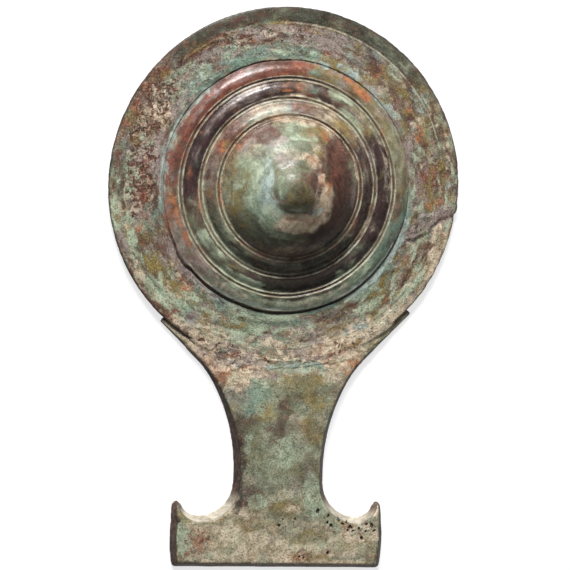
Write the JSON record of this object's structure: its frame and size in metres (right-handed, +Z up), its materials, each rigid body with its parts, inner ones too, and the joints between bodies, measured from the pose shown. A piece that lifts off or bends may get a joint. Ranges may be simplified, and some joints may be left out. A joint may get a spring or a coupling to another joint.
{
  "type": "bronze mirror",
  "caption": "Ancient bronze mirror: a round disc with ringed mouldings, a hollow domed boss and a nipple, on a waisted plate handle whose foot ends in two upturned horns.",
  "frame": {"origin": "under the middle of the whole outline, on the ground it lies on", "axes": "+Y from the handle to the disc, +Z up out of the boss, +X to the right seen from above"},
  "size_m": [0.204, 0.3239, 0.0362],
  "materials": {
    "disc_patina": "corroded cast bronze, mottled grey-green, olive, mint and purple-brown patina",
    "handle_patina": "corroded cast bronze, olive and beige-green patina with pits and pale crust"
  },
  "bodies": {
    "root": {"disc": "disc_patina", "handle": "handle_patina"}
  },
  "joints": []
}
